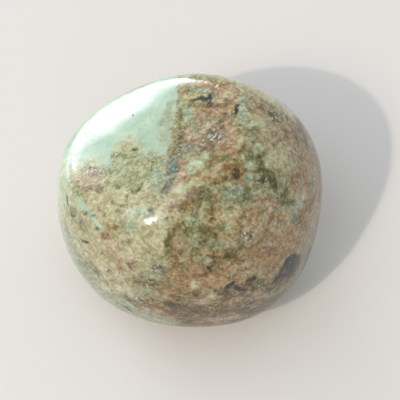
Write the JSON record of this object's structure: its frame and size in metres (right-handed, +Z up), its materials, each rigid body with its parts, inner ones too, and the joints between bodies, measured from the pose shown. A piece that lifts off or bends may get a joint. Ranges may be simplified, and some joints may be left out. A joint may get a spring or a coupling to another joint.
{
  "type": "tumbled turquoise stone",
  "caption": "Rounded, tumbled turquoise stone with mottled green, tan and ink-dark matrix and a low worn patch to rest on.",
  "frame": {"origin": "middle of the stone's box, on the level of the worn patch that it rests on", "axes": "+X to the right along the longest extent, +Y away, +Z up through the dome"},
  "size_m": [0.051, 0.047, 0.0414],
  "materials": {
    "stone": "tumbled to a soft polish, mottled seafoam green, olive, tan and rust with blue-black matrix and small pits"
  },
  "bodies": {
    "root": {"stone": "stone"}
  },
  "joints": []
}
